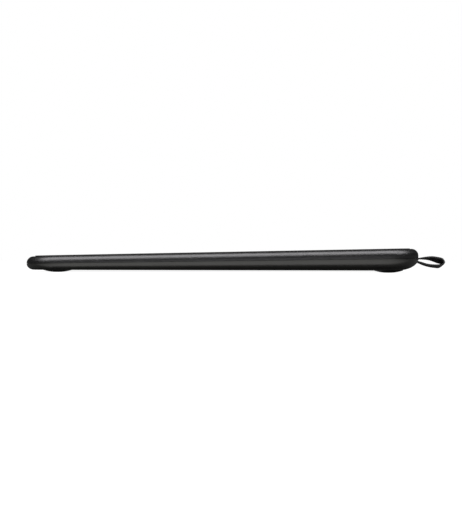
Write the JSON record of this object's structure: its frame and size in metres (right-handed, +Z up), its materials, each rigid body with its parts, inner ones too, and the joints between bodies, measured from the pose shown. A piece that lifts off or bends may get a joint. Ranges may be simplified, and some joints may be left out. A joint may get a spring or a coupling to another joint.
{
  "type": "graphics tablet",
  "caption": "Thin wedge-shaped drawing tablet with corner keys, rubber feet, a fabric pen loop on the rear edge and an accessory hatch underneath.",
  "frame": {"origin": "on the desk, under the centre of the bounding box of the tablet with its pen loop", "axes": "+X to the user's right along the front edge, +Y from the front edge to the rear edge, +Z up"},
  "size_m": [0.224, 0.1939, 0.0112],
  "materials": {
    "textured_shell": "fine grained moulded plastic",
    "smooth_shell": "smooth satin moulded plastic",
    "surface_film": "matt textured drawing film",
    "inner_plastic": "matt moulded plastic",
    "connector_plastic": "black moulded plastic",
    "nib_plastic": "dark grey plastic",
    "foot_rubber": "matt black rubber",
    "loop_webbing": "black woven tape",
    "screw_steel": "zinc plated steel",
    "socket_steel": "tinned steel",
    "board_resin": "green solder mask",
    "flex_film": "amber polyimide film",
    "chip_epoxy": "black epoxy",
    "clear_plastic": "clear acrylic"
  },
  "bodies": {
    "housing": {"base_cover": "smooth_shell", "battery_contacts": "connector_plastic", "board_screw_left": "screw_steel", "board_screw_middle": "screw_steel", "board_screw_right": "screw_steel", "case_screw_front_left": "screw_steel", "case_screw_front_right": "screw_steel", "case_screw_rear_left": "screw_steel", "case_screw_rear_right": "screw_steel", "controller_chip": "chip_epoxy", "foot_front_left": "foot_rubber", "foot_front_right": "foot_rubber", "foot_rear_left": "foot_rubber", "foot_rear_right": "foot_rubber", "key_switch_1": "socket_steel", "key_switch_2": "socket_steel", "key_switch_3": "socket_steel", "key_switch_4": "socket_steel", "loop_rod": "screw_steel", "main_board": "board_resin", "module_connector": "connector_plastic", "nib_rack": "inner_plastic", "nib_ring": "screw_steel", "pen_loop": "loop_webbing", "sensor_board": "board_resin", "sensor_cable": "flex_film", "sensor_chip": "chip_epoxy", "sensor_connector": "connector_plastic", "shield_sheet": "socket_steel", "spare_nib_1": "nib_plastic", "spare_nib_2": "nib_plastic", "spare_nib_3": "nib_plastic", "status_led": "clear_plastic", "status_light_guide": "clear_plastic", "surface_plate": "surface_film", "top_cover": "textured_shell", "usb_socket": "socket_steel"},
    "key_1": {"key_1": "surface_film"},
    "key_2": {"key_2": "surface_film"},
    "key_3": {"key_3": "surface_film"},
    "key_4": {"key_4": "surface_film"},
    "hatch": {"hatch_cover": "smooth_shell"}
  },
  "joints": [
    {"name": "key_1_press", "type": "slide", "parent": "housing", "child": "key_1", "axis": [0, 0.0217, -0.9998], "range_m": [0, 0.0004], "stiffness_N_per_m": 2000, "springref_m": -0.0002},
    {"name": "key_2_press", "type": "slide", "parent": "housing", "child": "key_2", "axis": [0, 0.0217, -0.9998], "range_m": [0, 0.0004], "stiffness_N_per_m": 2000, "springref_m": -0.0002},
    {"name": "key_3_press", "type": "slide", "parent": "housing", "child": "key_3", "axis": [0, 0.0217, -0.9998], "range_m": [0, 0.0004], "stiffness_N_per_m": 2000, "springref_m": -0.0002},
    {"name": "key_4_press", "type": "slide", "parent": "housing", "child": "key_4", "axis": [0, 0.0217, -0.9998], "range_m": [0, 0.0004], "stiffness_N_per_m": 2000, "springref_m": -0.0002},
    {"name": "hatch_lift_off", "type": "slide", "parent": "housing", "child": "hatch", "axis": [0, 0, -1], "range_m": [0, 0.02]}
  ]
}
